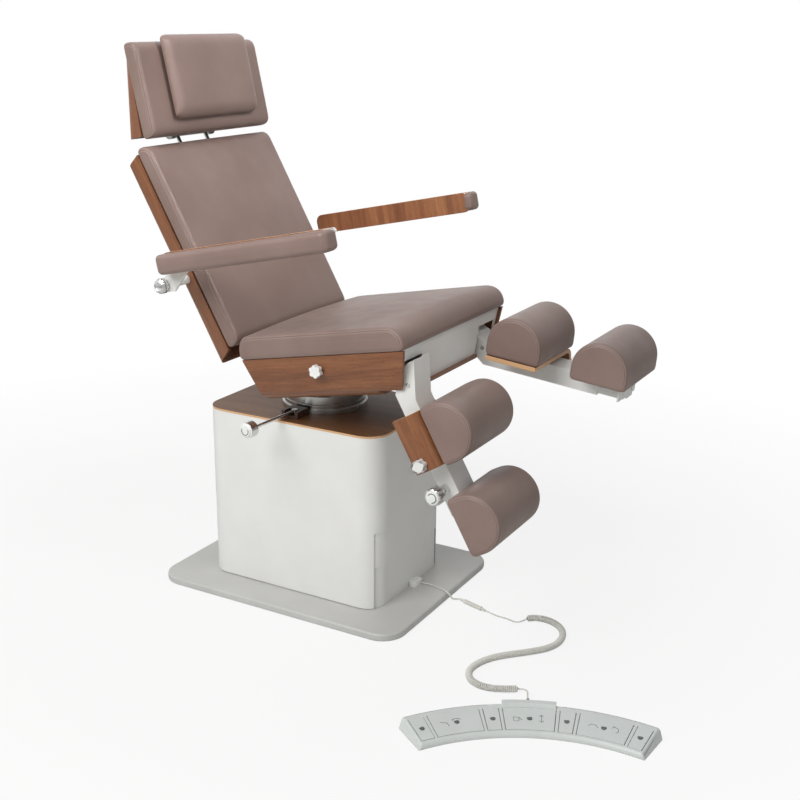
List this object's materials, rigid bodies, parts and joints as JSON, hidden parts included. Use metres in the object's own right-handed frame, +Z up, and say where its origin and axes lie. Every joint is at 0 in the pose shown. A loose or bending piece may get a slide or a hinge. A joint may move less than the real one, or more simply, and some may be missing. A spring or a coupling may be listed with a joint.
{
  "type": "podiatry chair",
  "caption": "Height-adjustable treatment chair with swivel, tilting seat, reclining back, headrest, fold-up armrests, split leg rests and a corded foot control.",
  "frame": {"origin": "on the turntable's axis, at the floor", "axes": "+Z up; the sitter faces -Y; +X is the sitter's left"},
  "size_m": [1.0691, 1.5643, 1.4853],
  "materials": {
    "white_paint": "satin white paint",
    "plate_paint": "satin white paint",
    "walnut": "lacquered walnut veneer on plywood",
    "top_veneer": "dark lacquered veneer",
    "upholstery": "taupe leatherette",
    "steel": "satin steel",
    "knob_silver": "satin chrome",
    "white_plastic": "satin white plastic",
    "cord": "soft white cord",
    "glide": "black rubber on steel stud",
    "clamp_metal": "brown painted metal"
  },
  "bodies": {
    "base": {"base_plate": "plate_paint", "levelling_feet": "glide", "lower_cover": "white_paint", "lift_column_outer": "steel", "cord_gland": "white_plastic", "foot_control": "white_plastic", "lead_cord": "cord", "cord_coupler": "white_plastic", "curly_cord": "cord"},
    "cover_stage": {"middle_cover": "white_paint"},
    "lift": {"upper_cover": "white_paint", "top_panel": "top_veneer", "lift_column_inner": "steel", "turntable_base": "steel", "brake_clamp": "clamp_metal"},
    "brake": {"brake_lever": "knob_silver"},
    "turntable": {"turntable_plate": "steel"},
    "seat": {"seat_frame": "white_paint", "seat_shell": "walnut", "seat_front_plate": "white_paint", "seat_cushion": "upholstery", "pivot_pins": "steel"},
    "seat_clamp": {"seat_knob": "white_plastic"},
    "actuator": {"back_actuator_rod": "steel"},
    "back": {"back_frame": "white_paint", "back_shell": "walnut", "back_cushion": "upholstery"},
    "head_carrier": {"headrest_rods": "steel"},
    "head": {"headrest_shell": "walnut", "headrest_cushion": "upholstery", "headrest_pillow": "upholstery"},
    "armrest_left": {"armrest_bracket_left": "white_paint", "armrest_board_left": "walnut", "armrest_pad_left": "upholstery"},
    "armrest_clamp_left": {"armrest_knob_left": "knob_silver"},
    "leg_left": {"leg_tube_left": "white_paint"},
    "calf_rest_left": {"calf_tray_left": "walnut", "tray_clamp_left": "white_paint", "calf_cushion_left": "upholstery"},
    "heel_rest_left": {"leg_slide_left": "white_paint", "heel_cushion_left": "upholstery"},
    "leg_clamp_left": {"slide_knob_left": "knob_silver"},
    "armrest_right": {"armrest_bracket_right": "white_paint", "armrest_board_right": "walnut", "armrest_pad_right": "upholstery"},
    "armrest_clamp_right": {"armrest_knob_right": "knob_silver"},
    "leg_right": {"leg_tube_right": "white_paint"},
    "calf_rest_right": {"calf_tray_right": "walnut", "tray_clamp_right": "white_paint", "calf_cushion_right": "upholstery"},
    "heel_rest_right": {"leg_slide_right": "white_paint", "heel_cushion_right": "upholstery"},
    "leg_clamp_right": {"slide_knob_right": "knob_silver"},
    "rocker_left": {"rocker_left": "white_plastic"},
    "rocker_middle": {"rocker_middle": "white_plastic"},
    "rocker_right": {"rocker_right": "white_plastic"},
    "button_1": {"foot_button_1": "white_plastic"},
    "button_2": {"foot_button_2": "white_plastic"},
    "button_3": {"foot_button_3": "white_plastic"},
    "button_4": {"foot_button_4": "white_plastic"}
  },
  "joints": [
    {"name": "lift_height", "type": "slide", "parent": "base", "child": "lift", "axis": [0, 0, 1], "range_m": [0, 0.3]},
    {"name": "cover_stage_height", "type": "slide", "parent": "base", "child": "cover_stage", "axis": [0, 0, 1], "range_m": [0, 0.15]},
    {"name": "swivel", "type": "hinge", "parent": "lift", "child": "turntable", "pos_m": [0, 0, 0.51], "axis": [0, 0, 1], "range_deg": [-170, 170]},
    {"name": "brake_turn", "type": "hinge", "parent": "lift", "child": "brake", "pos_m": [-0.146, 0.002, 0.523], "axis": [0, 0, 1], "range_deg": [-19, 20]},
    {"name": "seat_tilt", "type": "hinge", "parent": "turntable", "child": "seat", "pos_m": [0, -0.04636, 0.65159], "axis": [-1, 0, 0], "range_deg": [-11, 9]},
    {"name": "seat_knob_turn", "type": "hinge", "parent": "seat", "child": "seat_clamp", "pos_m": [-0.28, -0.15693, 0.691], "axis": [1, 0, 0], "continuous": true},
    {"name": "back_recline", "type": "hinge", "parent": "seat", "child": "back", "pos_m": [0, 0.10484, 0.67568], "axis": [-1, 0, 0], "range_deg": [0, 50]},
    {"name": "actuator_stroke", "type": "slide", "parent": "seat", "child": "actuator", "axis": [0, -0.9823, 0.1874], "range_m": [0, 0.0445]},
    {"name": "headrest_height", "type": "slide", "parent": "back", "child": "head_carrier", "axis": [0, 0.4924, 0.8704], "range_m": [0, 0.12]},
    {"name": "headrest_tilt", "type": "hinge", "parent": "head_carrier", "child": "head", "pos_m": [0, 0.43559, 1.22254], "axis": [1, 0, 0], "range_deg": [-17, 15]},
    {"name": "armrest_left_fold", "type": "hinge", "parent": "back", "child": "armrest_left", "pos_m": [0.35, 0.25785, 0.87386], "axis": [-1, 0, 0], "range_deg": [-10, 105]},
    {"name": "armrest_knob_left_turn", "type": "hinge", "parent": "armrest_left", "child": "armrest_clamp_left", "pos_m": [0.35, 0.25785, 0.87386], "axis": [1, 0, 0], "continuous": true},
    {"name": "leg_left_pitch", "type": "hinge", "parent": "seat", "child": "leg_left", "pos_m": [0.205, -0.398, 0.682], "axis": [-1, 0, 0], "range_deg": [-69, 11]},
    {"name": "calf_rest_left_slide", "type": "slide", "parent": "leg_left", "child": "calf_rest_left", "axis": [0, -0.9945, -0.1045], "range_m": [-0.02, 0.03]},
    {"name": "heel_rest_left_slide", "type": "slide", "parent": "leg_left", "child": "heel_rest_left", "axis": [0, -0.9945, -0.1045], "range_m": [-0.04, 0.1]},
    {"name": "leg_knob_left_turn", "type": "hinge", "parent": "leg_left", "child": "leg_clamp_left", "pos_m": [0.245, -0.6615, 0.62514], "axis": [1, 0, 0], "continuous": true},
    {"name": "armrest_right_fold", "type": "hinge", "parent": "back", "child": "armrest_right", "pos_m": [-0.35, 0.25785, 0.87386], "axis": [-1, 0, 0], "range_deg": [-10, 105]},
    {"name": "armrest_knob_right_turn", "type": "hinge", "parent": "armrest_right", "child": "armrest_clamp_right", "pos_m": [-0.35, 0.25785, 0.87386], "axis": [1, 0, 0], "continuous": true},
    {"name": "leg_right_pitch", "type": "hinge", "parent": "seat", "child": "leg_right", "pos_m": [-0.205, -0.398, 0.682], "axis": [-1, 0, 0], "range_deg": [-15, 65]},
    {"name": "calf_rest_right_slide", "type": "slide", "parent": "leg_right", "child": "calf_rest_right", "axis": [0, -0.4955, -0.8686], "range_m": [-0.02, 0.03]},
    {"name": "heel_rest_right_slide", "type": "slide", "parent": "leg_right", "child": "heel_rest_right", "axis": [0, -0.4955, -0.8686], "range_m": [-0.04, 0.1]},
    {"name": "leg_knob_right_turn", "type": "hinge", "parent": "leg_right", "child": "leg_clamp_right", "pos_m": [-0.245, -0.50559, 0.43484], "axis": [1, 0, 0], "continuous": true},
    {"name": "rocker_left_rock", "type": "hinge", "parent": "base", "child": "rocker_left", "pos_m": [-0.56033, -0.70799, 0.01826], "axis": [0.7, 0.6855, 0.2], "range_deg": [-2.2, 2.2], "stiffness_Nm_per_rad": 4},
    {"name": "rocker_middle_rock", "type": "hinge", "parent": "base", "child": "rocker_middle", "pos_m": [-0.46457, -0.844, 0.01826], "axis": [0.8814, 0.428, 0.2], "range_deg": [-2.2, 2.2], "stiffness_Nm_per_rad": 4},
    {"name": "rocker_right_rock", "type": "hinge", "parent": "base", "child": "rocker_right", "pos_m": [-0.41691, -1.00336, 0.01826], "axis": [0.9716, 0.1262, 0.2], "range_deg": [-2.2, 2.2], "stiffness_Nm_per_rad": 4},
    {"name": "button_1_press", "type": "slide", "parent": "base", "child": "button_1", "axis": [0, 0, -1], "range_m": [0, 0.002], "stiffness_N_per_m": 900},
    {"name": "button_2_press", "type": "slide", "parent": "base", "child": "button_2", "axis": [0, 0, -1], "range_m": [0, 0.002], "stiffness_N_per_m": 900},
    {"name": "button_3_press", "type": "slide", "parent": "base", "child": "button_3", "axis": [0, 0, -1], "range_m": [0, 0.002], "stiffness_N_per_m": 900},
    {"name": "button_4_press", "type": "slide", "parent": "base", "child": "button_4", "axis": [0, 0, -1], "range_m": [0, 0.002], "stiffness_N_per_m": 900}
  ],
  "couplings": [
    {"joint": "cover_stage_height", "follows": "lift_height", "ratio": 0.5},
    {"joint": "actuator_stroke", "follows": "back_recline", "m_per_rad": 0.0506}
  ]
}
